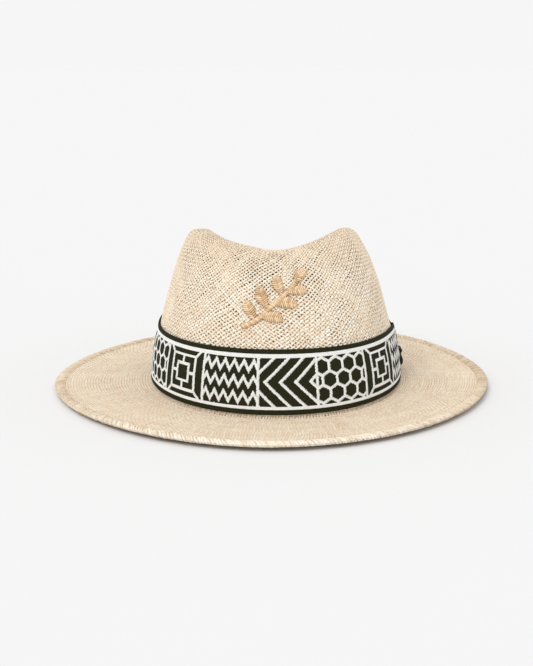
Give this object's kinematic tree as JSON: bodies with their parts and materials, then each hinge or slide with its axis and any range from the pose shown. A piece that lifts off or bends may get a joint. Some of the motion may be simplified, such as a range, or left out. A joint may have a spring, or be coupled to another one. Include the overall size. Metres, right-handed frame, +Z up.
{
  "type": "straw fedora hat",
  "caption": "Woven straw fedora with a dented teardrop crown, a wide flat hemmed brim and a patterned ribbon sewn around the foot of the crown.",
  "frame": {"origin": "middle of the hat's bounding box, on the floor that the brim's edge rests on", "axes": "+Z up through the crown, -Y the front of the hat, +X the wearer's left side where the ribbon is joined"},
  "size_m": [0.3004, 0.3444, 0.1094],
  "materials": {
    "straw": "natural cream straw in a fine open weave, matt with a faint sheen",
    "ribbon": "dark green jacquard ribbon with off-white line work",
    "knot_cord": "black twisted cord"
  },
  "bodies": {
    "root": {"straw_body": "straw", "hat_band": "ribbon", "band_knot": "knot_cord"}
  },
  "joints": []
}
